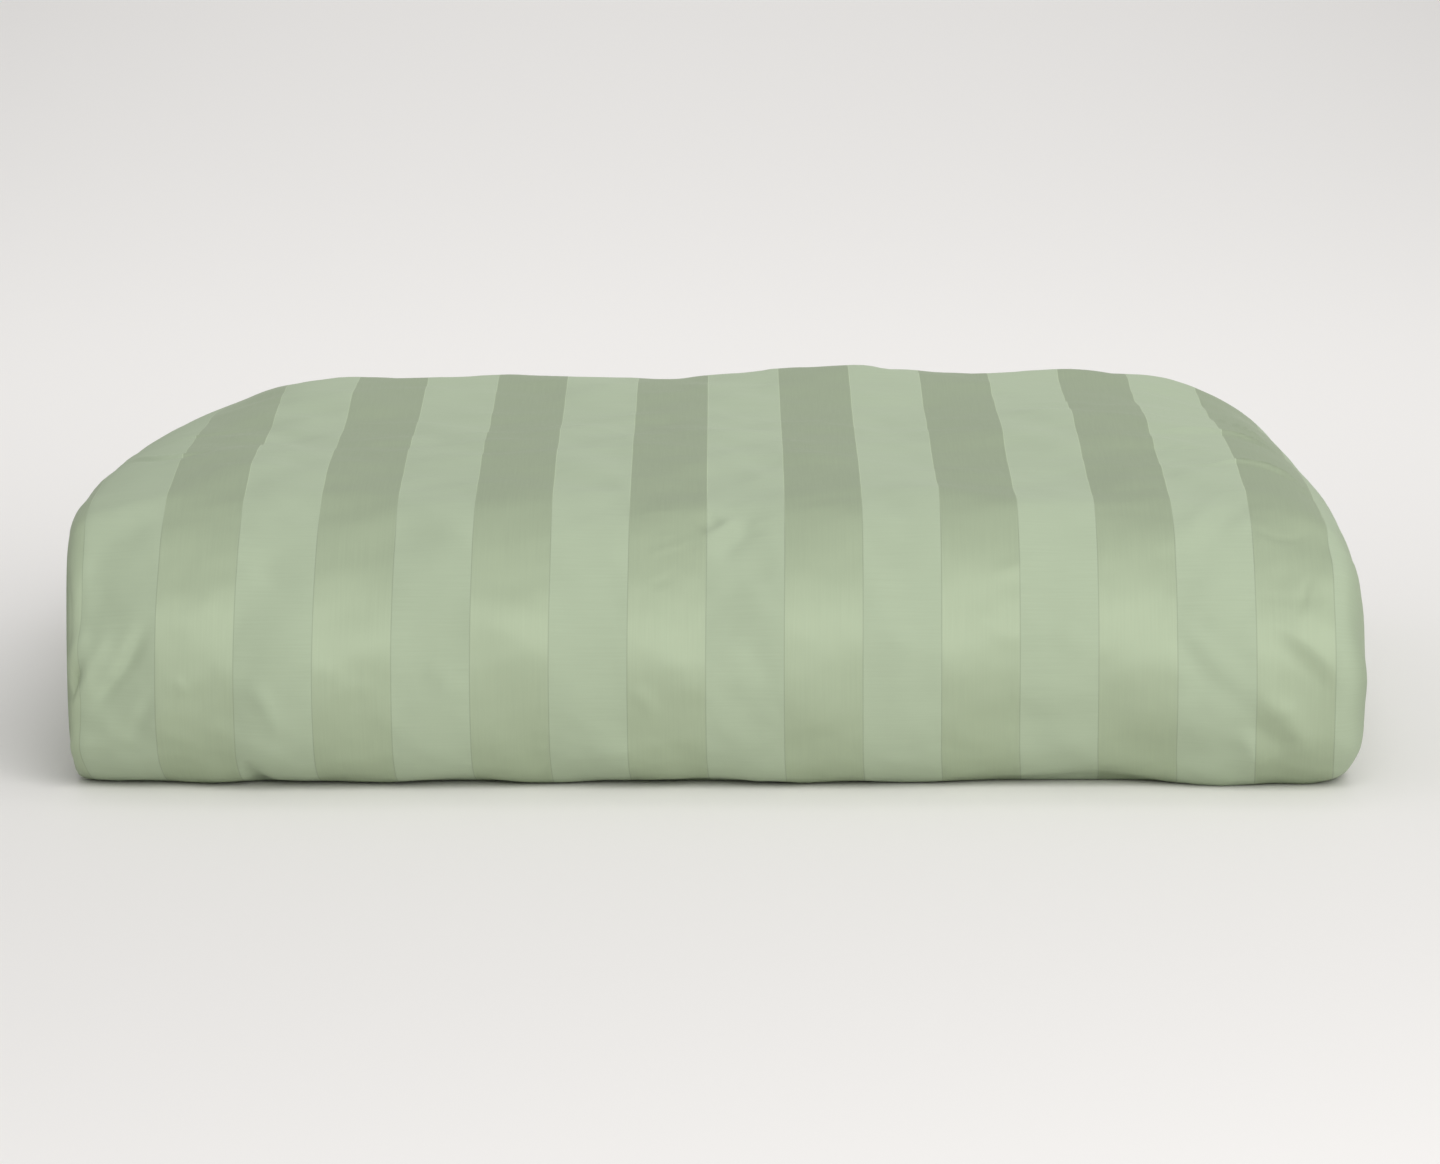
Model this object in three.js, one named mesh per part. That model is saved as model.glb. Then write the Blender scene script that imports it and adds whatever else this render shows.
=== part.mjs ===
// A duvet in its striped cover, folded and laid flat. It is folded in half across its width, so that
// each layer is a band two duvets thick, and the band is then folded in half twice along its length.
// The four layers are one solid: a back-and-forth section swept across the width.
// Millimetres, +Z up. The closed bend that shows faces -Y, and the origin is the middle of the underside.
import * as THREE from "three";

// Overall size as folded
const width = 728;
const depth = 530;
const height = 160;

// The layers, counted from the lowest, lie this far apart
const layerCount = 4;
const layerGap = 3;
const layerThickness = (height - (layerCount - 1) * layerGap) / layerCount;

// The bends. The front one turns tightly below and widely above, and the back one joins the top two layers
const frontBend = { lowerDepth: 44, upperDepth: 108, lowerPower: 1.95, upperPower: 2.0, steps: 16 };
const innerBendSteps = 8;
const backBend = { depth: 40, power: 2.3, steps: 8 };
const flatSteps = 6;
const tipInset = 12; // the second layer's free end lies this far inside the lowest one's

// How far each layer's two ends stand back from the widest place
const layerEnds = [
  { layer: 1, left: 3, right: 2 },
  { layer: 2, left: 11, right: 7 },
  { layer: 3, left: 6, right: 9 },
  { layer: 4, left: 0, right: 0 },
];

// Ends of the band: how far in from the end, and how much of the layer's thickness is left there.
// On the left the two halves of the band end as two lips with a groove between them (sunk rows)
const leftLips = [
  { inward: 24, open: 0.1, sunk: 1 },
  { inward: 9, open: 0.14, sunk: 1 },
  { inward: 2.5, open: 0.28, sunk: 1 },
  { inward: 0, open: 0.5, sunk: 0 },
  { inward: 2.5, open: 0.78, sunk: 0 },
  { inward: 9, open: 0.98, sunk: 0 },
];
const rightFold = [
  { inward: 10, open: 0.94, sunk: 0 },
  { inward: 4, open: 0.76, sunk: 0 },
  { inward: 0, open: 0.35, sunk: 0 },
];
const freeTip = [
  { inward: 0, open: 0.3 },
  { inward: 4, open: 0.74 },
  { inward: 12, open: 0.97 },
];
const pocketMargin = 2; // the groove stops this far short of the free ends
const tipCorner = { reach: 40, inset: 9 }; // the free ends' corners are drawn in

// Rows across the width: close together near the ends, where the creases are
const endZone = 118;
const endZoneRows = 8;
const middleRows = 11;

// How the folded duvet settles
const waist = { lowering: 16, reach: 170 }; // the front stands out most below half height
const frontShoulder = { fall: 0.05, from: 90, to: 190 }; // the top falls a little towards the front
const endFall = { // the top falls towards both ends, as a share of the height and a power across
  left: { front: -0.03, back: 0.36, frontPower: 12, backPower: 6 },
  right: { front: 0.12, back: 0.39, frontPower: 14, backPower: 10 },
  fadeIn: 60,
};
const swells = [ // gentle filling waves: share of the height, and waves across and along
  { share: 0.012, across: 2.3, along: 1.4, shift: 0.6 },
  { share: 0.01, across: 4.1, along: 2.2, shift: 2.1 },
];
const plainFront = 60; // the swells start behind the front face

// Soft troughs on the front face, in X and Z, as deep and wide as given
const creases = [
  { fromX: -362, fromZ: 66, toX: -338, toZ: 88, depth: 6, reach: 9 },
  { fromX: -341, fromZ: 52, toX: -320, toZ: 84, depth: 4, reach: 11 },
  { fromX: -322, fromZ: 34, toX: -311, toZ: 57, depth: 2.5, reach: 10 },
  { fromX: 262, fromZ: 84, toX: 296, toZ: 52, depth: 3, reach: 12 },
  { fromX: 302, fromZ: 54, toX: 328, toZ: 27, depth: 5, reach: 13 },
  { fromX: 317, fromZ: 88, toX: 343, toZ: 66, depth: 3, reach: 10 },
];
const creaseBand = 70; // creases mark the face only this far back from the front

const clamp01 = (u) => Math.min(1, Math.max(0, u));
const smooth = (u) => clamp01(u) ** 2 * (3 - 2 * clamp01(u));
const mix = (a, b, share) => a + (b - a) * share;

// A quarter-rounded arc whose power squares it off: 2 is an ellipse
function roundedArc(angle, power) {
  const across = Math.abs(Math.cos(angle)) ** (2 / power);
  const up = Math.sign(angle) * Math.abs(Math.sin(angle)) ** (2 / power);
  return [across, up];
}

// A point of the front bend: angle from -90 below to 90 above, share 1 on the outside and 0 at the core
function frontBendPoint(angle, share) {
  const above = smooth((Math.sin(angle) + 1) / 2);
  const reach = mix(frontBend.lowerDepth, frontBend.upperDepth, above);
  const [across, up] = roundedArc(angle, mix(frontBend.lowerPower, frontBend.upperPower, above));
  return [-depth / 2 + reach * (1 - share * across), (height / 2) * (1 + share * up)];
}

// A point of the back bend, which joins the third and fourth layers
function backBendPoint(angle, share) {
  const [across, up] = roundedArc(angle, backBend.power);
  const halfHeight = layerThickness + layerGap / 2;
  return [depth / 2 - backBend.depth * (1 - share * across), height - halfHeight + halfHeight * share * up];
}

// The section as stations along the band, each with a point on either side of it
function bandStations() {
  const lowerStart = -depth / 2 + frontBend.lowerDepth;
  const upperStart = -depth / 2 + frontBend.upperDepth;
  const backStart = depth / 2 - backBend.depth;
  const outsideIn = 1 - (2 * layerThickness) / height;
  const insideOut = 1 - (2 * (layerThickness + layerGap)) / height;
  const core = layerGap / height;
  const backCore = layerGap / 2 / (layerThickness + layerGap / 2);
  const stations = [];

  const addBend = (bendPoint, from, to, steps, outerShare, innerShare, layerFrom, layerTo) => {
    for (let i = 0; i <= steps; i += 1) {
      const angle = mix(from, to, i / steps);
      stations.push({
        outer: bendPoint(angle, outerShare),
        inner: bendPoint(angle, innerShare),
        ends: endsBetween(layerFrom, layerTo, i / steps),
        open: 1,
        tip: 0,
      });
    }
  };
  const addFlat = (from, to, outerZ, innerZ, layer) => {
    for (let i = 1; i < flatSteps; i += 1) {
      const y = mix(from, to, i / flatSteps);
      stations.push({ outer: [y, outerZ], inner: [y, innerZ], ends: endsBetween(layer, layer, 0), open: 1, tip: 0 });
    }
  };
  const addTip = (end, outerZ, innerZ, layer, profile) => {
    for (const { inward, open } of profile) {
      const y = end - inward;
      const drawIn = tipCorner.inset * (1 - inward / tipCorner.reach) ** 2;
      const { left, right } = endsBetween(layer, layer, 0);
      stations.push({
        outer: [y, outerZ],
        inner: [y, innerZ],
        ends: { left: left + drawIn, right: right + drawIn },
        open,
        tip: inward === 0 ? 1 : 0,
      });
    }
  };

  const up = Math.PI / 2;
  const firstTop = layerThickness;
  const secondBase = layerThickness + layerGap;
  const thirdBase = 2 * (layerThickness + layerGap);
  const fourthBase = 3 * (layerThickness + layerGap);
  const secondEnd = depth / 2 - tipInset;
  addTip(depth / 2, 0, firstTop, 1, freeTip);
  addFlat(depth / 2 - freeTip.at(-1).inward, lowerStart, 0, firstTop, 1);
  addBend(frontBendPoint, -up, up, frontBend.steps, 1, outsideIn, 1, 4);
  addFlat(upperStart, backStart, height, fourthBase, 4);
  addBend(backBendPoint, up, -up, backBend.steps, 1, backCore, 4, 3);
  addFlat(backStart, upperStart, thirdBase, fourthBase - layerGap, 3);
  addBend(frontBendPoint, up, -up, innerBendSteps, core, insideOut, 3, 2);
  addFlat(lowerStart, secondEnd - freeTip.at(-1).inward, thirdBase - layerGap, secondBase, 2);
  addTip(secondEnd, thirdBase - layerGap, secondBase, 2, freeTip.toReversed());
  return stations;
}

function endsBetween(layerFrom, layerTo, share) {
  const from = layerEnds[layerFrom - 1];
  const to = layerEnds[layerTo - 1];
  return { left: mix(from.left, to.left, share), right: mix(from.right, to.right, share) };
}

// Rows across the width, from the bottom of the left groove to the right fold. A row is placed
// from the left end, from the right end, or as a share of the way between the two end zones
function acrossRows() {
  const rows = leftLips.map((row) => ({ ...row, side: "left" }));
  const lipsReach = leftLips.at(-1).inward;
  const foldReach = rightFold[0].inward;
  for (let i = 1; i < endZoneRows; i += 1) {
    rows.push({ side: "left", inward: mix(lipsReach, endZone, i / endZoneRows), open: 1, sunk: 0 });
  }
  for (let i = 0; i <= middleRows; i += 1) {
    rows.push({ side: "middle", share: i / middleRows, open: 1, sunk: 0 });
  }
  for (let i = 1; i < endZoneRows; i += 1) {
    rows.push({ side: "right", inward: mix(endZone, foldReach, i / endZoneRows), open: 1, sunk: 0 });
  }
  return rows.concat(rightFold.map((row) => ({ ...row, side: "right" })));
}

function rowX(row, ends) {
  const leftEnd = -width / 2 + ends.left;
  const rightEnd = width / 2 - ends.right;
  if (row.side === "left") return leftEnd + row.inward;
  if (row.side === "right") return rightEnd - row.inward;
  return mix(leftEnd + endZone, rightEnd - endZone, row.share);
}

// The folded duvet settles under its own weight: the underside stays flat on the surface
function settle([x, y, z]) {
  const back = y + depth / 2;
  const level = (2 * z) / height - 1;
  let settled = z - waist.lowering * (1 - level * level) * (1 - smooth(back / waist.reach));
  const shoulder = smooth((back - frontShoulder.from) / (frontShoulder.to - frontShoulder.from));
  settled *= 1 - frontShoulder.fall * (1 - shoulder);
  const fall = x < 0 ? endFall.left : endFall.right;
  const along = clamp01(back / depth);
  const across = Math.abs(x) / (width / 2);
  const power = mix(fall.frontPower, fall.backPower, along);
  settled *= 1 - mix(fall.front, fall.back, along) * across ** power * smooth(back / endFall.fadeIn);
  for (const swell of swells) {
    const wave = Math.sin((swell.across * Math.PI * x) / width + swell.shift)
      * Math.sin((swell.along * Math.PI * y) / depth + swell.shift);
    settled *= 1 + swell.share * wave * smooth((back - plainFront) / plainFront);
  }
  return [x, y, settled];
}

// How deep the creases are at a place on the front face
function creaseDepth(x, z) {
  let total = 0;
  for (const { fromX, fromZ, toX, toZ, depth: deep, reach } of creases) {
    const runX = toX - fromX;
    const runZ = toZ - fromZ;
    const share = clamp01(((x - fromX) * runX + (z - fromZ) * runZ) / (runX ** 2 + runZ ** 2));
    const away = Math.hypot(x - fromX - share * runX, z - fromZ - share * runZ);
    total += deep * Math.exp(-((away / reach) ** 2));
  }
  return total;
}

// One point of the band: side 1 is its outer side and -1 its inner one
function bandPoint(row, station, side) {
  const [outerY, outerZ] = station.outer;
  const [innerY, innerZ] = station.inner;
  const open = row.open * station.open * side;
  const y = (outerY + innerY) / 2 + ((outerY - innerY) / 2) * open - pocketMargin * row.sunk * station.tip;
  const z = (outerZ + innerZ) / 2 + ((outerZ - innerZ) / 2) * open;
  const point = settle([rowX(row, station.ends), y, z]);
  const back = point[1] + depth / 2;
  if (side > 0 && !row.sunk && back < creaseBand) {
    point[1] += creaseDepth(point[0], point[2]) * row.open * (1 - smooth(back / creaseBand));
  }
  return point;
}

function foldedDuvetGeometry() {
  const stations = bandStations();
  const rows = acrossRows();
  const ring = 2 * stations.length;
  const positions = [];
  for (const row of rows) {
    for (const station of stations) positions.push(...bandPoint(row, station, 1));
    for (const station of stations.toReversed()) positions.push(...bandPoint(row, station, -1));
  }
  const faces = [];
  const quad = (a, b, c, d) => faces.push(a, b, c, a, c, d);
  for (let i = 0; i + 1 < rows.length; i += 1) {
    for (let j = 0; j < ring; j += 1) {
      const next = (j + 1) % ring;
      quad(i * ring + j, (i + 1) * ring + j, (i + 1) * ring + next, i * ring + next);
    }
  }
  const last = (rows.length - 1) * ring;
  for (let j = 0; j + 1 < stations.length; j += 1) {
    const far = ring - 1 - j;
    quad(j, j + 1, far - 1, far);
    quad(last + j, last + far, last + far - 1, last + j + 1);
  }
  const geometry = new THREE.BufferGeometry();
  geometry.setAttribute("position", new THREE.Float32BufferAttribute(positions, 3));
  geometry.setIndex(faces);
  geometry.computeVertexNormals();
  return geometry;
}

const sateen = new THREE.MeshStandardMaterial({ color: 0xa8bc9e, roughness: 0.55, metalness: 0 });
const duvet = new THREE.Mesh(foldedDuvetGeometry(), sateen);
duvet.name = "folded_duvet";

const part = new THREE.Group();
part.name = "folded_duvet_in_cover";
part.add(duvet);

export default part;
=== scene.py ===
# A duvet in its striped sateen cover, folded and laid flat. Metres, +Z up, and its closed bend shows to -Y.
import math

import bpy
import numpy as np
from mathutils.geometry import tessellate_polygon
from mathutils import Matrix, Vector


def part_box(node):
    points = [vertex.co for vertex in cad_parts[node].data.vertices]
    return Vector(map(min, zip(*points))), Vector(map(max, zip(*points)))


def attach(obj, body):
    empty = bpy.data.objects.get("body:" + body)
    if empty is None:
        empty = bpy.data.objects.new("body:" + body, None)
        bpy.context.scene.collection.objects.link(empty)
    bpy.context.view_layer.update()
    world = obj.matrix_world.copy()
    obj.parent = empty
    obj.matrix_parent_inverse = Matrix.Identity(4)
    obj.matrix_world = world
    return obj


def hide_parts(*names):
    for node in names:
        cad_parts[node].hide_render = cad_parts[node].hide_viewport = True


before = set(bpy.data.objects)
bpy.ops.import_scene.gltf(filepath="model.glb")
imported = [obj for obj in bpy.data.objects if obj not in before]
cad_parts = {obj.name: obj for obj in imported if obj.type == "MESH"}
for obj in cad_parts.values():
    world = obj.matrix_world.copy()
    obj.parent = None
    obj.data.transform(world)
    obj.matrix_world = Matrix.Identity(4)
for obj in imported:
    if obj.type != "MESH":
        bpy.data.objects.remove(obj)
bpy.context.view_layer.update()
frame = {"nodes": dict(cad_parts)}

print("frame loaded:", ", ".join(frame["nodes"]))

# The folded duvet: four layers of one band that runs back and forth, each layer two duvets thick
lowest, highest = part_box("folded_duvet")
duvet = {
    "width": highest[0] - lowest[0],
    "depth": highest[1] - lowest[1],
    "height": 0.160,
    "layerCount": 4,
    "layerGap": 0.003,
    "secondTipInset": 0.012,        # the second layer's free end lies inside the lowest one's
    "leftInsets": (0.003, 0.011, 0.006, 0.0),      # each layer's ends stand back from the widest place
    "rightInsets": (0.002, 0.007, 0.009, 0.0),
    "endWander": 0.0025,            # and wander by this much on the way back
    "wanderLengths": (0.31, 0.17),
    "wanderFrom": (0.25, 0.45),     # along the band, from the front's foot
}
duvet["thickness"] = (
    duvet["height"] - (duvet["layerCount"] - 1) * duvet["layerGap"]
) / duvet["layerCount"]

# The bends: how deep they reach into the band, and how squared off they are, by a superellipse's power
bends = {
    "lowerDepth": 0.044,            # the front one, from its lower to its upper half
    "upperDepth": 0.108,
    "lowerPower": 1.95,
    "upperPower": 2.0,
    "backDepth": 0.040,             # the one behind, of the two upper layers
    "backPower": 2.3,
}

# Steps along the band: the outer face is fine where it shows, and the inner one lies in the folds
outerSteps = {
    "underside": 10, "front": 114, "topFront": 92, "topBack": 20,
    "back": 20, "third": 12, "inner": 12, "second": 12,
}
innerSteps = {
    "underside": 8, "front": 16, "topFront": 6, "topBack": 5,
    "back": 10, "third": 8, "inner": 12, "second": 8,
}
topSplit = 0.065        # where the finer part of the top ends, in y

# Noses: how far in from an end a face lies, by how much of the layer's thickness is left there
noses = {
    "power": 2.2,
    "foldReach": 0.016,
    "foldOpen": (0.98, 0.95, 0.9, 0.83, 0.74, 0.62, 0.48, 0.33, 0.18, 0.06),
    "tipReach": 0.014,
    "tipOpen": (0.05, 0.12, 0.3, 0.5, 0.68, 0.82, 0.92, 0.98),
    "lipReach": 0.012,
    "lipMiddle": 0.55,
    "lipHalf": 0.45,
    "lipOpen": (
        0.12, 0.17, 0.25, 0.34, 0.4, 0.435, 0.465, 0.5,
        0.55, 0.61, 0.68, 0.76, 0.84, 0.91, 0.96, 0.99,
    ),
    "grooveInward": (0.024, 0.017, 0.012),
    "grooveOpen": (0.1, 0.1, 0.105),
    "seamDepth": 0.0012,            # the sewn edge runs along each nose as a fine groove
    "seamMiddle": 0.45,
    "seamSpread": 0.03,
    "tipCornerReach": 0.040,
    "tipCornerInset": 0.009,
    "grooveMargin": 0.002,
}

# Plain rows across the width: up to this x, this many of them, closer where the creases are
rowZones = (
    {"upTo": -0.246, "rows": 44},
    {"upTo": -0.060, "rows": 31},
    {"upTo": 0.035, "rows": 48},
    {"upTo": 0.246, "rows": 37},
    {"upTo": None, "rows": 54},
)

# How the filled layers settle: a waist low on the front, a lower shoulder, the fall of the top towards both
# ends, the tuck of the bottom corners, a bulge at the left and slow swells of the top
settling = {
    "waist": 0.018,
    "waistReach": 0.170,
    "shoulderFall": 0.03,
    "shoulder": (0.090, 0.190),
    "leftFall": {"front": 0.0, "back": 0.34, "frontPower": 15, "backPower": 4.9, "onset": 1.2},
    "rightFall": {"front": 0.12, "back": 0.40, "frontPower": 22, "backPower": 9.6, "onset": 0.7},
    "fallFadeIn": 0.060,
    "footTuck": {"left": 0.004, "right": 0.011, "height": 0.040, "power": 8, "reach": 0.090},
    "leftBulge": {"out": 0.004, "power": 5, "back": 0.070, "spread": 0.055},
    # Each swell as a share of the height, its half waves across and along, and its shift in radians
    "swells": ((0.012, 2.3, 1.4, 0.6), (0.010, 4.1, 2.2, 2.1)),
    "plainFront": 0.060,            # and how far behind the front they start
}


# An eased share: three times its square less twice its cube, held between 0 and 1
def smooth(share):
    held = np.clip(share, 0, 1)
    return held ** 2 * (3 - 2 * held)


# A straight blend: the start, and that share of the way to the end
def mix(start, end, share):
    return start + (end - start) * share


# How far in from an end a face is, by the share of the thickness that is open there: one less the root of
# one less the share to the nose's power, times the reach
def noseInward(openShare, reach):
    power = noses["power"]
    return reach * (1 - (1 - np.abs(openShare) ** power) ** (1 / power))


# Cosine and sine raised to 2 / power, which squares the ellipse off as the power grows
def roundedArc(angle, power):
    across = np.abs(np.cos(angle)) ** (2 / power)
    up = np.sign(angle) * np.abs(np.sin(angle)) ** (2 / power)
    return across, up


# The front bend by angle, from -90 degrees below to 90 above, and by share: 1 outside and 0 at its core.
# It is a rounded arc, half the height up and down, and its depth grows from the lower to the upper one
def frontBend(angle, share):
    above = smooth((np.sin(angle) + 1) / 2)
    reach = mix(bends["lowerDepth"], bends["upperDepth"], above)
    across, up = roundedArc(angle, mix(bends["lowerPower"], bends["upperPower"], above))
    return -duvet["depth"] / 2 + reach * (1 - share * across), duvet["height"] / 2 * (1 + share * up)


# The back bend of the two upper layers, a rounded arc in the same way
def backBend(angle, share):
    across, up = roundedArc(angle, bends["backPower"])
    halfHeight = duvet["thickness"] + duvet["layerGap"] / 2
    y = duvet["depth"] / 2 - bends["backDepth"] * (1 - share * across)
    return y, duvet["height"] - halfHeight + halfHeight * share * up


# The band's section, a path of flat runs, bends and tips carried across the width. Each station is a row of
# (outer y, outer z, inner y, inner z, left inset, right inset, open, tip)
def bandStations(steps):
    depth, height, thickness, gap = (duvet[name] for name in ("depth", "height", "thickness", "layerGap"))
    pitch = thickness + gap
    lowerStart = -depth / 2 + bends["lowerDepth"]
    upperStart = -depth / 2 + bends["upperDepth"]
    backStart = depth / 2 - bends["backDepth"]
    quarter = math.pi / 2
    rows = []

    # Stations of any kind, whose insets blend from one layer's to the next
    def add(outerY, outerZ, innerY, innerZ, layerFrom, layerTo, share, openShare=1.0, tip=0.0, drawIn=0.0):
        insets = [
            mix(duvet[side][layerFrom - 1], duvet[side][layerTo - 1], share) + drawIn
            for side in ("leftInsets", "rightInsets")
        ]
        rows.append(np.stack(np.broadcast_arrays(outerY, outerZ, innerY, innerZ, *insets, openShare, tip), 1))

    def addBend(bendPoint, start, end, count, outerShare, innerShare, layerFrom, layerTo):
        share = np.linspace(0, 1, count + 1)
        angle = mix(start, end, share)
        add(*bendPoint(angle, outerShare), *bendPoint(angle, innerShare), layerFrom, layerTo, share)

    def addFlat(start, end, outerZ, innerZ, count, layer):
        y = np.linspace(start, end, count + 1)[1:-1]
        add(y, outerZ, y, innerZ, layer, layer, 0.0)

    # A free end: its noses close by the open share, and its corners draw in by the square of the nearness
    def addTip(end, outerZ, innerZ, layer, order):
        openShare = np.array(noses["tipOpen"])[::order]
        notch = noses["seamDepth"] * (openShare == min(noses["tipOpen"]))
        inward = noseInward(openShare, noses["tipReach"]) + notch
        drawIn = noses["tipCornerInset"] * (1 - inward / noses["tipCornerReach"]) ** 2
        y = end - inward
        add(y, outerZ, y, innerZ, layer, layer, 0.0, openShare, 1 - inward / noses["tipReach"], drawIn)

    outsideIn = 1 - 2 * thickness / height
    insideOut = 1 - 2 * pitch / height
    secondEnd = depth / 2 - duvet["secondTipInset"]
    addTip(depth / 2, 0, thickness, 1, 1)
    addFlat(depth / 2 - noses["tipReach"], lowerStart, 0, thickness, steps["underside"], 1)
    addBend(frontBend, -quarter, quarter, steps["front"], 1, outsideIn, 1, 4)
    addFlat(upperStart, topSplit, height, 3 * pitch, steps["topFront"], 4)
    add(topSplit, height, topSplit, 3 * pitch, 4, 4, np.zeros(1))
    addFlat(topSplit, backStart, height, 3 * pitch, steps["topBack"], 4)
    addBend(backBend, quarter, -quarter, steps["back"], 1, gap / 2 / (thickness + gap / 2), 4, 3)
    addFlat(backStart, upperStart, 2 * pitch, 3 * pitch - gap, steps["third"], 3)
    addBend(frontBend, quarter, -quarter, steps["inner"], gap / height, insideOut, 3, 2)
    addFlat(lowerStart, secondEnd - noses["tipReach"], 2 * pitch - gap, pitch, steps["second"], 2)
    addTip(secondEnd, 2 * pitch - gap, pitch, 2, -1)
    return np.concatenate(rows)


# Rows across the width as columns of (x, open, sunk), from the bottom of the left groove over the lip and
# the plain rows to the right fold. The seam is a bell curve that dents the lip
def acrossRows():
    nose = np.array(noses["lipOpen"])
    lipInward = noseInward((nose - noses["lipMiddle"]) / noses["lipHalf"], noses["lipReach"])
    lipInward += noses["seamDepth"] * np.exp(-((nose - noses["seamMiddle"]) / noses["seamSpread"]) ** 2)
    leftOpen = np.concatenate([noses["grooveOpen"], nose])
    leftX = -duvet["width"] / 2 + np.concatenate([noses["grooveInward"], lipInward])
    rightOpen = np.array(noses["foldOpen"])
    rightX = duvet["width"] / 2 - noseInward(rightOpen, noses["foldReach"])

    plainX = []
    start = -duvet["width"] / 2 + noses["lipReach"]
    for zone in rowZones:
        end = zone["upTo"] or duvet["width"] / 2 - noses["foldReach"]
        plainX.append(np.linspace(start, end, zone["rows"] + 1)[:-1])
        start = end
    plainX = np.concatenate([*plainX, [start]])
    x = np.concatenate([leftX, plainX, rightX])
    openShare = np.concatenate([leftOpen, np.ones(len(plainX)), rightOpen])
    sunk = (np.arange(len(x)) < len(leftOpen)) * (openShare < noses["lipMiddle"])
    return x[:, None], openShare[:, None], sunk[:, None]


# Settling under its own weight. The waist is one less the square of the level, and the shoulder and the ends
# take a share of the height, the ends' growing as a power of the way across. A swell is the product of two
# sines, the corners tuck in by the square of what is left below their height, and the bulge is a bell curve
def settle(x, y, z):
    back = y + duvet["depth"] / 2
    level = 2 * z / duvet["height"] - 1
    z = z - settling["waist"] * (1 - level ** 2) * (1 - smooth(back / settling["waistReach"]))
    start, end = settling["shoulder"]
    z = z * (1 - settling["shoulderFall"] * (1 - smooth((back - start) / (end - start))))
    across = np.abs(x) / (duvet["width"] / 2)
    for side, fall in ((-1, settling["leftFall"]), (1, settling["rightFall"])):
        along = np.clip(back / duvet["depth"], 0, 1) ** fall["onset"]
        power = mix(fall["frontPower"], fall["backPower"], along)
        drop = mix(fall["front"], fall["back"], along) * across ** power
        drop = drop * smooth(back / settling["fallFadeIn"])
        z = z * (1 - np.where(x * side > 0, drop, 0))
    for share, waves, wavesAlong, shift in settling["swells"]:
        wave = np.sin(waves * math.pi * x / duvet["width"] + shift)
        wave = wave * np.sin(wavesAlong * math.pi * y / duvet["depth"] + shift)
        z = z * (1 + share * wave * smooth((back - settling["plainFront"]) / settling["plainFront"]))
    tuck = settling["footTuck"]
    drawIn = np.where(x < 0, tuck["left"], -tuck["right"]) * across ** tuck["power"]
    x = x + drawIn * np.clip(1 - z / tuck["height"], 0, 1) ** 2 * (1 - smooth(back / tuck["reach"]))
    bulge = settling["leftBulge"]
    swollen = across ** bulge["power"] * np.exp(-((back - bulge["back"]) / bulge["spread"]) ** 2)
    x = x - np.where(x < 0, bulge["out"] * swollen, 0)
    return np.stack([x, y, z], 2)


# One face of the band, side 1 outer and -1 inner: x, y, z over rows and stations, from the middle of the
# layer by half its thickness times the open share. The cloth's v is the length run along the section from
# the front's foot, and u the length run across from the middle
def bandFace(side, steps):
    outerY, outerZ, innerY, innerZ, left, right, stationOpen, tip = bandStations(steps).T
    faceY, faceZ = (outerY, outerZ) if side > 0 else (innerY, innerZ)
    along = np.concatenate([[0], np.cumsum(np.hypot(np.diff(faceY), np.diff(faceZ)))])
    foot = np.argmin(np.hypot(outerY + duvet["depth"] / 2 - bends["lowerDepth"], outerZ))
    along = along - along[foot]
    wanderIn = smooth((along - duvet["wanderFrom"][0]) / (duvet["wanderFrom"][1] - duvet["wanderFrom"][0]))
    wander = sum(np.sin(2 * math.pi * along / length) for length in duvet["wanderLengths"]) / 2 + 1
    drawIn = duvet["endWander"] * wander * wanderIn
    rowX, rowOpen, sunk = acrossRows()
    x = rowX + mix(left + drawIn, -right - drawIn, rowX / duvet["width"] + 0.5)
    openShare = rowOpen * stationOpen * side
    y = (outerY + innerY) / 2 + (outerY - innerY) / 2 * openShare - noses["grooveMargin"] * sunk * tip
    z = (outerZ + innerZ) / 2 + (outerZ - innerZ) / 2 * openShare
    place = settle(x, y, z)
    across = np.cumsum(np.linalg.norm(np.diff(place, axis=0, prepend=place[:1]), axis=2), 0)
    middle = np.argmin(np.abs(rowX))
    u = across - across[middle] + x[middle]
    return {"place": place, "u": u, "v": along + 0 * x, "lift": rowOpen * (1 - sunk) + 0 * x}


# Outward normals of a face: the cross product of its differences along the rows and the stations
def faceNormals(place, side):
    normal = np.cross(np.gradient(place, axis=0), np.gradient(place, axis=1)) * side
    return normal / np.maximum(np.linalg.norm(normal, axis=2, keepdims=True), 1e-9)


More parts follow.
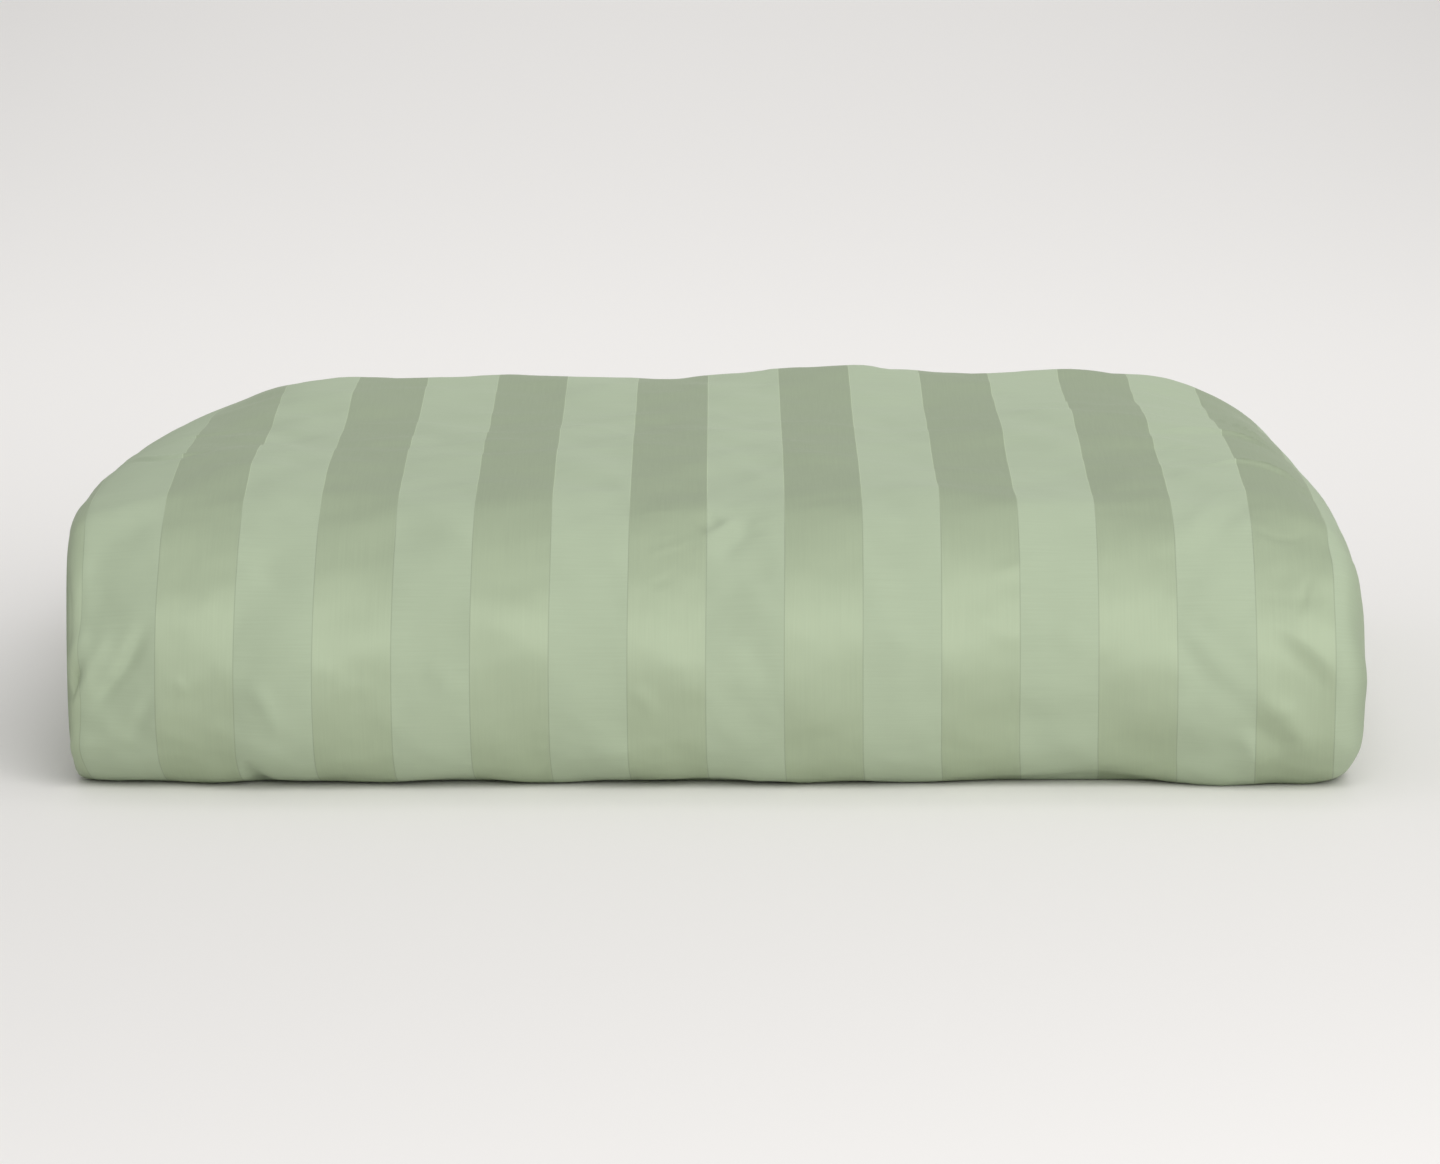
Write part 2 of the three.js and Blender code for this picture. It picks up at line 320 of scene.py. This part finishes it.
# Both faces make one closed ring, row by row, and a cap of triangles closes each end. The inner face's u is
# mirrored past the right fold, so the stripes run on round it
def closedBand(outer, inner):
    place = np.concatenate([outer["place"], inner["place"][:, ::-1]], 1)
    rows, ring = place.shape[:2]
    mirror = 2 * outer["u"].max()
    u = np.concatenate([outer["u"], mirror - inner["u"][:, ::-1]], 1)
    v = np.concatenate([outer["v"], inner["v"][:, ::-1]], 1)
    index = np.arange(rows * ring).reshape(rows, ring)
    following = np.roll(index, -1, 1)
    quads = np.stack([index[:-1], index[1:], following[1:], following[:-1]], 2).reshape(-1, 4)

    nextU, nextV = np.roll(u, -1, 1), np.roll(v, -1, 1)
    for last in (outer["u"].shape[1] - 1, ring - 1):        # at the free ends the cloth stops at its seam
        nextU[:, last] = u[:, last]
        nextV[:, last] = v[:, last] + duvet["layerGap"]
    quadU = np.stack([u[:-1], u[1:], nextU[1:], nextU[:-1]], 2).reshape(-1)
    quadV = np.stack([v[:-1], v[1:], nextV[1:], nextV[:-1]], 2).reshape(-1)

    caps = []
    for row, facing in ((0, -1), (rows - 1, 1)):
        section = place[row]
        triangles = np.array(tessellate_polygon([(section * (0, 1, 1)).tolist()]))
        first, second, third = (section[triangles[:, corner], 1:] for corner in range(3))
        turn = (second[:, 0] - first[:, 0]) * (third[:, 1] - first[:, 1])
        turn = turn - (second[:, 1] - first[:, 1]) * (third[:, 0] - first[:, 0])
        if turn.sum() * facing < 0:
            triangles = triangles[:, ::-1]
        caps.append(index[row][triangles])
    triangles = np.concatenate(caps)
    capU = u.reshape(-1)[triangles].reshape(-1)
    capV = v.reshape(-1)[triangles].reshape(-1)
    uv = np.stack([np.append(quadU, capU), np.append(quadV, capV)], 1)
    return place.reshape(-1, 3), quads, triangles, uv


# The mesh straight from its arrays: points, four-sided and three-sided faces, and u, v for each corner
def meshFromArrays(name, points, quads, triangles, uv):
    mesh = bpy.data.meshes.new(name)
    corners = np.concatenate([quads.reshape(-1), triangles.reshape(-1)])
    sizes = np.concatenate([np.full(len(quads), 4), np.full(len(triangles), 3)])
    mesh.vertices.add(len(points))
    mesh.vertices.foreach_set("co", points.astype(np.float32).reshape(-1))
    mesh.loops.add(len(corners))
    mesh.loops.foreach_set("vertex_index", corners.astype(np.int32))
    mesh.polygons.add(len(sizes))
    mesh.polygons.foreach_set("loop_start", (np.cumsum(sizes) - sizes).astype(np.int32))
    mesh.polygons.foreach_set("use_smooth", np.ones(len(sizes), bool))
    mesh.update(calc_edges=True)
    layer = mesh.uv_layers.new(name="cloth")
    layer.data.foreach_set("uv", uv.astype(np.float32).reshape(-1))
    mesh.validate()
    made = bpy.data.objects.new(name, mesh)
    bpy.context.scene.collection.objects.link(made)
    return made


# How the filling and the cloth are uneven: sums of sine waves of many lengths, each with a heading between
# two angles in degrees, and lower the shorter it is. Where it gathers, it is mirrored left and right and
# grows from the middle to the ends with that power
unevenKinds = (
    {
        "seed": 7, "waves": 24, "longest": 0.30, "shortest": 0.11,
        "height": 0.0008, "headings": (0, 360), "gather": 0,
    },
    {
        "seed": 3, "waves": 40, "longest": 0.10, "shortest": 0.035,
        "height": 0.00022, "headings": (0, 360), "gather": 0,
    },
    {
        "seed": 5, "waves": 16, "longest": 0.09, "shortest": 0.035,
        "height": 0.00045, "headings": (20, 65), "gather": 2,
    },
    {
        "seed": 11, "waves": 60, "longest": 0.03, "shortest": 0.012,
        "height": 0.00003, "headings": (0, 360), "gather": 0,
    },
)
calm = {"foot": 0.015, "backFrom": 0.86, "backFade": 0.06}      # v where it has started and where it stops
# On the top's ends, past this v and this far in across, only this share of it is left
topEnds = {"from": 0.19, "fade": 0.06, "in": 0.270, "reach": 0.060, "left": 0.15}


def unevenness(u, v):
    total = np.zeros_like(u)
    for kind in unevenKinds:
        chance = np.random.default_rng(kind["seed"])
        across = np.abs(u) if kind["gather"] else u
        growth = (np.abs(u) / (duvet["width"] / 2)) ** kind["gather"]
        for _ in range(kind["waves"]):
            length = kind["longest"] * (kind["shortest"] / kind["longest"]) ** chance.random()
            heading = math.radians(chance.uniform(*kind["headings"]))
            way = across * math.cos(heading) + v * math.sin(heading)
            wave = np.sin(2 * math.pi * (way / length + chance.random()))
            total += kind["height"] * length / kind["longest"] * growth * wave
    onTop = smooth((v - topEnds["from"]) / topEnds["fade"])
    nearEnd = smooth((np.abs(u) - topEnds["in"]) / topEnds["reach"])
    return total * mix(1, topEnds["left"], onTop * nearEnd)


# Creases in the cloth's own sizes, in millimetres: how far each rises or sinks, how far it spreads to either
# side, and its route as u across from the middle and v up the front from its foot. It dies away at both
# ends. The last three are broad, and fill out or draw in the outline
creaseColumns = ("name", "height", "spread", "route")
creaseFade = 0.35               # the share of its route over which it dies away
perMetre = 1000
creases = (
    ("left end pinch", -4.5, 3.6, ((-384, 78), (-375, 87), (-367, 97), (-361, 106), (-354, 118))),
    ("lip over the pinch", 1.6, 6.0, ((-376, 104), (-368, 114), (-360, 124), (-352, 134))),
    ("left end ridge", 1.0, 4.6, ((-339, 134), (-345, 122), (-353, 110), (-360, 99))),
    ("left fold", 0.5, 4.4, ((-323, 137), (-330, 126), (-339, 106), (-344, 95))),
    ("trough beside it", -1.9, 4.2,
     ((-314, 138), (-320, 130), (-329, 114), (-338, 102), (-345, 91), (-350, 82))),
    ("lower left fold", 0.35, 4.8, ((-305, 98), (-310, 86), (-315, 73), (-319, 62))),
    ("trough beside the lower", -1.1, 4.4, ((-312, 104), (-316, 96), (-320, 84), (-326, 72), (-331, 62))),
    ("left nick", 0.7, 1.8, ((-302, 107), (-299, 102), (-296, 95))),
    ("low left dip", -0.7, 7.0, ((-298, 98), (-291, 94), (-283, 89))),
    ("third left fold", 1.5, 6.5, ((-262, 110), (-252, 91), (-240, 67))),
    ("fourth left fold", 1.3, 7.0, ((-225, 121), (-212, 106), (-200, 89))),
    ("fifth left fold", 1.2, 5.5, ((-198, 110), (-190, 90), (-183, 68))),
    ("hooked left line", 0.9, 4.5, ((-168, 111), (-160, 114), (-152, 103), (-151, 88))),
    ("left foot tuck", -3.0, 5.0, ((-266, 56), (-262, 38), (-256, 16), (-250, 2))),
    ("left top ridge", 1.7, 2.7,
     ((-351, 389), (-344, 375), (-337, 361), (-330, 350),
      (-322, 346), (-314, 344), (-304, 349), (-288, 358))),
    ("trough under the top ridge", -0.8, 3.2,
     ((-344, 366), (-336, 351), (-329, 341), (-322, 338), (-314, 336), (-304, 341), (-290, 349))),
    ("left back ridge", 1.3, 2.9,
     ((-343, 429), (-330, 433), (-317, 436), (-306, 438), (-296, 446), (-286, 458), (-272, 466))),
    ("left dip", -0.8, 10.0, ((-322, 314), (-308, 306), (-290, 302), (-262, 308))),
    ("left short ridge", 0.6, 2.4, ((-367, 192), (-363, 198), (-357, 205))),
    ("pucker ridge", 1.1, 3.6, ((-14, 187), (-6, 189), (1, 195), (8, 203), (18, 206))),
    ("pucker line", 0.6, 2.2, ((-46, 213), (-33, 211), (-20, 210))),
    ("line under it", 0.9, 2.0, ((-42, 176), (-32, 180), (-21, 184), (-8, 189))),
    ("short pucker line", 0.7, 1.9, ((-36, 189), (-27, 190), (-16, 190))),
    ("line right of it", 0.5, 2.6, ((14, 192), (24, 200), (36, 204))),
    ("pucker trough", -1.3, 6.0, ((-3, 171), (4, 178), (11, 185), (18, 194), (23, 202))),
    ("pucker hollow", -1.2, 6.5, ((-14, 196), (-7, 200), (2, 208))),
    ("low pucker line", -0.5, 2.4, ((-40, 155), (-31, 159), (-23, 163))),
    ("right crest sheen", 1.4, 3.4, ((230, 503), (245, 505), (258, 505), (275, 506), (300, 520))),
    ("right ripple", -1.1, 3.2, ((248, 406), (262, 408), (278, 409), (299, 413))),
    ("second right ripple", -1.0, 3.0, ((248, 364), (262, 361), (278, 358), (298, 352))),
    ("right ripple below", -1.0, 3.0, ((258, 304), (270, 305), (284, 304), (299, 299))),
    ("right fan 1", 2.2, 2.8,
     ((250, 491), (270, 497), (290, 500), (303, 498), (316, 486), (327, 464), (336, 440))),
    ("right fan 2", 2.3, 2.7,
     ((262, 412), (282, 420), (297, 424), (311, 435), (322, 430), (331, 413), (339, 390))),
    ("trough under fan 2", -0.6, 2.9, ((288, 412), (305, 417), (318, 418), (328, 400))),
    ("right fan 3", 2.1, 2.4,
     ((278, 306), (288, 310), (299, 316), (312, 319), (322, 317), (331, 310), (341, 294))),
    ("trough under fan 3", -1.2, 2.6, ((304, 308), (316, 310), (326, 305), (333, 294), (339, 281))),
    ("right fan 4", 0.8, 2.4, ((331, 297), (338, 288), (345, 280))),
    ("trough under fan 4", -0.8, 2.4, ((332, 279), (340, 271), (348, 266))),
    ("right bulge", 0.8, 11.0, ((296, 214), (308, 216), (320, 212))),
    ("dip under the bulge", -0.9, 2.7, ((297, 200), (305, 193), (314, 188), (325, 190), (337, 199))),
    ("right slope fold", 1.3, 9.0, ((263, 186), (274, 207), (286, 234))),
    ("right slope dip", -1.0, 8.0, ((270, 176), (281, 196), (293, 220))),
    ("right shoulder fold", 1.0, 10.0, ((214, 214), (234, 270), (250, 322))),
    ("right nick", -0.8, 2.0, ((333, 164), (330, 156), (326, 143), (324, 135))),
    ("right fine wrinkle", -0.25, 2.2, ((292, 152), (305, 149), (320, 147), (336, 148), (350, 152))),
    ("right fold", 0.9, 4.0, ((308, 139), (318, 131), (330, 122), (339, 114), (346, 105), (351, 98))),
    ("trough under the fold", -0.5, 4.2,
     ((305, 131), (314, 123), (325, 114), (334, 106), (342, 97), (347, 90))),
    ("lower right fold", 2.2, 6.5, ((289, 93), (303, 93), (317, 85), (327, 70), (330, 51))),
    ("trough under the lower", -1.6, 7.0, ((291, 84), (303, 76), (314, 64), (322, 46))),
    ("foot fold", 1.4, 6.5, ((290, 78), (299, 57), (307, 34))),
    ("third right fold", 1.0, 7.0, ((256, 138), (268, 126), (281, 111), (298, 97))),
    ("trough under the third", -0.9, 7.0, ((244, 138), (258, 124), (271, 108), (290, 92), (302, 80))),
    ("fourth right fold", 1.1, 7.0, ((187, 134), (201, 124), (213, 113))),
    ("fifth right fold", 1.1, 6.0, ((139, 143), (155, 133), (171, 123))),
    ("middle fold", 0.9, 5.0, ((93, 132), (105, 123), (115, 113))),
    ("middle foot fold", 0.9, 5.0, ((-47, 104), (-33, 78))),
    ("middle right line", 1.0, 4.5, ((153, 158), (167, 165), (183, 172))),
    ("right foot line", 0.9, 5.0, ((128, 90), (139, 53))),
    ("right end filling", 2.2, 28.0, ((340, 420), (342, 480), (342, 540), (340, 600))),
    ("left end filling", 1.2, 26.0, ((-345, 490), (-346, 550), (-344, 610))),
    ("right end drawn in", -3.2, 16.0, ((375, 98), (376, 130), (376, 160), (374, 197))),
)


# Each crease adds its height times a bell curve of the distance to the nearest point of its route, and times
# an eased fade at both ends
def creaseLift(u, v):
    total = np.zeros_like(u)
    for row in creases:
        crease = dict(zip(creaseColumns, row))
        route = np.array(crease["route"], float) / perMetre
        spread = crease["spread"] / perMetre
        lengths = np.linalg.norm(np.diff(route, axis=0), axis=1)
        reached = np.concatenate([[0], np.cumsum(lengths)]) / lengths.sum()
        nearest = np.full(u.shape, np.inf)
        share = np.zeros_like(u)
        for start, end, before, after in zip(route, route[1:], reached, reached[1:]):
            run = end - start
            part = np.clip(((u - start[0]) * run[0] + (v - start[1]) * run[1]) / (run @ run), 0, 1)
            away = np.hypot(u - start[0] - part * run[0], v - start[1] - part * run[1])
            closer = away < nearest
            nearest = np.where(closer, away, nearest)
            share = np.where(closer, mix(before, after, part), share)
        fade = smooth(share / creaseFade) * smooth((1 - share) / creaseFade)
        total += crease["height"] / perMetre * fade * np.exp(-(nearest / spread) ** 2)
    return total


# How far the stripes lean sideways on the cloth: at the foot, more so towards its left end, and some way up
drift = {
    "foot": 0.0016, "leftFoot": 0.0035, "leftPower": 3, "footReach": 0.060,
    "front": -0.0007, "frontAt": 0.110, "frontSpread": 0.060,
}


# The outer face moves along its normals by the unevenness and the creases together, and stays on the floor
def foldedDuvet():
    outer = bandFace(1, outerSteps)
    inner = bandFace(-1, innerSteps)
    u, v = outer["u"], outer["v"]
    shows = smooth(v / calm["foot"]) * smooth((calm["backFrom"] - v) / calm["backFade"])
    lift = (unevenness(u, v) + creaseLift(u, v)) * shows * outer["lift"]
    outer["place"] = outer["place"] + faceNormals(outer["place"], 1) * lift[:, :, None]
    outer["place"][:, :, 2] = np.maximum(outer["place"][:, :, 2], 0)
    leaning = drift["front"] * np.exp(-((v - drift["frontAt"]) / drift["frontSpread"]) ** 2)
    toLeft = np.clip(-u / (duvet["width"] / 2), 0, 1) ** drift["leftPower"]
    atFoot = drift["foot"] + drift["leftFoot"] * toLeft
    outer["u"] = u - atFoot * (1 - smooth(v / drift["footReach"])) * smooth(v / calm["foot"] + 1) - leaning
    made = meshFromArrays("duvet_in_cover", *closedBand(outer, inner))
    print("duvet:", len(made.data.loops) - 2 * len(made.data.polygons), "triangles")
    return made


# A socket that can be used in sums and products: each adds its Math node
class Wire:
    def __init__(self, maker, socket):
        self.maker = maker
        self.socket = socket

    def math(self, operation, *values):
        return self.maker.node("ShaderNodeMath", {"operation": operation}, values)

    def __add__(self, other):
        return self.math("ADD", self, other)

    def __sub__(self, other):
        return self.math("SUBTRACT", self, other)

    def __rsub__(self, other):
        return self.math("SUBTRACT", other, self)

    def __mul__(self, other):
        return self.math("MULTIPLY", self, other)

    def __truediv__(self, other):
        return self.math("DIVIDE", self, other)

    def __gt__(self, other):
        return self.math("GREATER_THAN", self, other)

    def __lt__(self, other):
        return self.math("LESS_THAN", self, other)

    __radd__ = __add__
    __rmul__ = __mul__

    def fraction(self):
        return self.math("FRACT", self)

    def absolute(self):
        return self.math("ABSOLUTE", self)

    def held(self):
        return self.math("MAXIMUM", self.math("MINIMUM", self, 1.0), 0.0)


class Finish:
    def __init__(self, name):
        self.material = bpy.data.materials.new(name)
        self.material.use_nodes = True
        self.tree = self.material.node_tree
        self.tree.nodes.clear()

    # Any node: its settings are set first, then its sockets, by place or by name, from values or wires
    def node(self, kind, settings=None, values=()):
        made = self.tree.nodes.new(kind)
        for name, value in (settings or {}).items():
            setattr(made, name, value)
        pairs = values.items() if isinstance(values, dict) else enumerate(values)
        for key, value in pairs:
            if isinstance(value, Wire):
                self.tree.links.new(value.socket, made.inputs[key])
            else:
                made.inputs[key].default_value = value
        return Wire(self, made.outputs[0]) if len(made.outputs) else None


# Two satin weaves in even stripes, one that shines along the stripe and one that shines across it
sateen = {
    "pitch": 0.0439,                # one stripe, and the next one of the other weave is as wide
    "edge": -0.00593,               # where one of the edges lies, across from the middle
    "alongColor": (0.376, 0.45, 0.296),
    "acrossColor": (0.385, 0.46, 0.315),
    "alongRoughness": 0.7,
    "acrossRoughness": 0.8,
    "metallic": 0.3,
    "ior": 2.1,
    "anisotropic": 0.6,
    "turn": 0.25,                   # the second weave's shine, a quarter turn from the first one's
    "streak": 0.05,                 # how much the threads vary in shade
    "threadScale": 1100,            # noise waves for each metre, across the threads and along them
    "threadRunScale": 25,
    "threadDetail": 2.0,
    "needleHalf": 0.0003,           # a fine line of needle holes runs along each edge of a stripe
    "needlePaintedShade": 0.24,            # painted shade in the holes below, where v is small, and a painted highlight along the line further up
    "needlePaintedHighlight": 0.18,
    "needleTurn": (0.185, 0.245),
    "needleStep": 0.0011,
    "needleGap": 0.4,               # the share of a step between two holes
    "needleBetween": 0.4,           # and how much of the painted shade is left there, next to a hole
}


# The fraction of u over two pitches tells the weave, above a half along and below it across. The distance to
# the nearest edge draws the needle line's painted shade and painted highlight, and the fraction of v over a
# step its holes
def sateenFinish():
    finish = Finish("striped_sateen")
    cloth = finish.node("ShaderNodeUVMap", {"uv_map": "cloth"})
    parts = finish.node("ShaderNodeSeparateXYZ", values=[cloth])
    u, v = parts, Wire(finish, parts.socket.node.outputs["Y"])
    stripe = ((u - sateen["edge"]) / (2 * sateen["pitch"])).fraction()
    alongMask = stripe > 0.5
    offEdge = ((stripe * 2 + 0.5).fraction() - 0.5).absolute() * sateen["pitch"]
    holes = (v / sateen["needleStep"]).fraction() > sateen["needleGap"]
    low, high = sateen["needleTurn"]
    above = ((v - low) / (high - low)).held()
    between = sateen["needleBetween"]
    # Painted shade in the needle holes on the front, and a painted highlight along the line on the top
    paintedHoleShade = (1 - above) * (holes * (1 - between) + between) * sateen["needlePaintedShade"]
    needlePaintedLight = (offEdge < sateen["needleHalf"]) * (above * sateen["needlePaintedHighlight"] - paintedHoleShade)

    # Noise stretched along the threads
    def streaks(acrossScale, alongScale):
        place = finish.node("ShaderNodeCombineXYZ", values=[u * acrossScale, v * alongScale, 0.0])
        values = {"Vector": place, "Scale": 1.0, "Detail": sateen["threadDetail"]}
        return finish.node("ShaderNodeTexNoise", {"noise_dimensions": "3D"}, values)

    # The colour times one and the streak's share, and times one and the needle line's painted shade and
    # highlight
    def weave(color, noise, roughness, turn):
        shade = (1 + (noise - 0.5) * (2 * sateen["streak"])) * (1 + needlePaintedLight)
        tinted = finish.node("ShaderNodeVectorMath", {"operation": "SCALE"}, {0: color, "Scale": shade})
        tangent = finish.node("ShaderNodeTangent", {"direction_type": "UV_MAP", "uv_map": "cloth"})
        return finish.node("ShaderNodeBsdfPrincipled", values={
            "Base Color": tinted,
            "Metallic": sateen["metallic"],
            "Roughness": roughness,
            "IOR": sateen["ior"],
            "Anisotropic": sateen["anisotropic"],
            "Anisotropic Rotation": turn,
            "Tangent": tangent,
        })

    fine, stretched = sateen["threadScale"], sateen["threadRunScale"]
    along = weave(sateen["alongColor"], streaks(fine, stretched), sateen["alongRoughness"], 0.0)
    across = weave(sateen["acrossColor"], streaks(stretched, fine), sateen["acrossRoughness"], sateen["turn"])
    surface = finish.node("ShaderNodeMixShader", values=[alongMask, across, along])
    finish.node("ShaderNodeOutputMaterial", values={"Surface": surface})
    return finish.material


piece = foldedDuvet()
piece.data.materials.append(sateenFinish())
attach(piece, "root")
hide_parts("folded_duvet")
print("duvet dressed")

# A plain pale floor, one square
floor = {"half": 12.0, "color": (0.85, 0.83, 0.81), "roughness": 0.7}


def paleFloor():
    half = floor["half"]
    mesh = bpy.data.meshes.new("floor")
    corners = [(-half, -half, 0), (half, -half, 0), (half, half, 0), (-half, half, 0)]
    mesh.from_pydata(corners, [], [(0, 1, 2, 3)])
    made = bpy.data.objects.new("floor", mesh)
    bpy.context.scene.collection.objects.link(made)
    material = bpy.data.materials.new("pale_floor")
    material.use_nodes = True
    shader = material.node_tree.nodes["Principled BSDF"]
    shader.inputs["Base Color"].default_value = (*floor["color"], 1)
    shader.inputs["Roughness"].default_value = floor["roughness"]
    mesh.materials.append(material)


# Soft studio light: one wide softbox in front, a small fill from the right, a weak one for the floor
# and an even surround
lights = [
    {
        "name": "front_softbox", "place": (0.85, -2.6, 2.25), "aim": (0.0, -0.2, 0.08),
        "size": (2.6, 3.0), "power": 79, "spread": 180,
    },
    {
        "name": "right_fill", "place": (2.6, -1.7, 0.9), "aim": (0.3, -0.2, 0.08),
        "size": (1.2, 1.2), "power": 7, "spread": 180,
    },
    {
        "name": "floor_light", "place": (0.0, 3.3, 2.4), "aim": (0.0, 3.3, 0.0),
        "size": (6.0, 2.6), "power": 18, "spread": 60,
    },
]
surround = {"color": (1.0, 1.0, 1.0), "strength": 0.50}


# Each light faces its aim: tilted from straight down by the angle to it, then turned about the vertical
def softLight():
    for light in lights:
        data = bpy.data.lights.new(light["name"], "AREA")
        data.shape = "RECTANGLE"
        data.size, data.size_y = light["size"]
        data.energy = light["power"]
        data.spread = math.radians(light["spread"])
        made = bpy.data.objects.new(light["name"], data)
        made.location = light["place"]
        towards = np.subtract(light["aim"], light["place"])
        level = math.hypot(towards[0], towards[1])
        turn = math.atan2(towards[1], towards[0]) - math.pi / 2
        made.rotation_euler = (math.atan2(level, -towards[2]), 0, turn)
        bpy.context.scene.collection.objects.link(made)
    world = bpy.data.worlds.new("studio")
    world.use_nodes = True
    background = world.node_tree.nodes["Background"]
    background.inputs["Color"].default_value = (*surround["color"], 1)
    background.inputs["Strength"].default_value = surround["strength"]
    bpy.context.scene.world = world


# The photograph's camera: 11 degrees above the floor, straight on, 3.6 m from the front of the duvet
camera = {
    "elevation": 11.0,
    "distance": 3.6,
    "frame": (1440, 1164),
    "focalPixels": 6433.0,
    "aimPixel": (717.5, 796.5),     # where the middle of the front's foot line shows
    "sensor": 36.0,
    "clipEnd": 60,
}


# It stands back from the foot line's middle along its own line of sight, and is moved sideways and up by as
# much as the aimed pixel is off the frame's centre
def photoCamera():
    tilt = math.radians(camera["elevation"])
    ahead = np.array([0, math.cos(tilt), -math.sin(tilt)])
    upward = np.array([0, math.sin(tilt), math.cos(tilt)])
    perPixel = camera["distance"] / camera["focalPixels"]
    offRight = (camera["aimPixel"][0] - camera["frame"][0] / 2) * perPixel
    offDown = (camera["aimPixel"][1] - camera["frame"][1] / 2) * perPixel
    foot = np.array([0, -duvet["depth"] / 2, 0])
    data = bpy.data.cameras.new("photo_camera")
    data.sensor_width = camera["sensor"]
    data.lens = camera["focalPixels"] * camera["sensor"] / camera["frame"][0]
    data.clip_end = camera["clipEnd"]
    made = bpy.data.objects.new("photo_camera", data)
    made.location = foot - camera["distance"] * ahead - offRight * np.array([1, 0, 0]) + offDown * upward
    made.rotation_euler = (math.radians(90 - camera["elevation"]), 0, 0)
    bpy.context.scene.collection.objects.link(made)
    bpy.context.scene.camera = made


paleFloor()
softLight()
photoCamera()
bpy.context.scene.view_settings.view_transform = "Standard"
print("studio set")
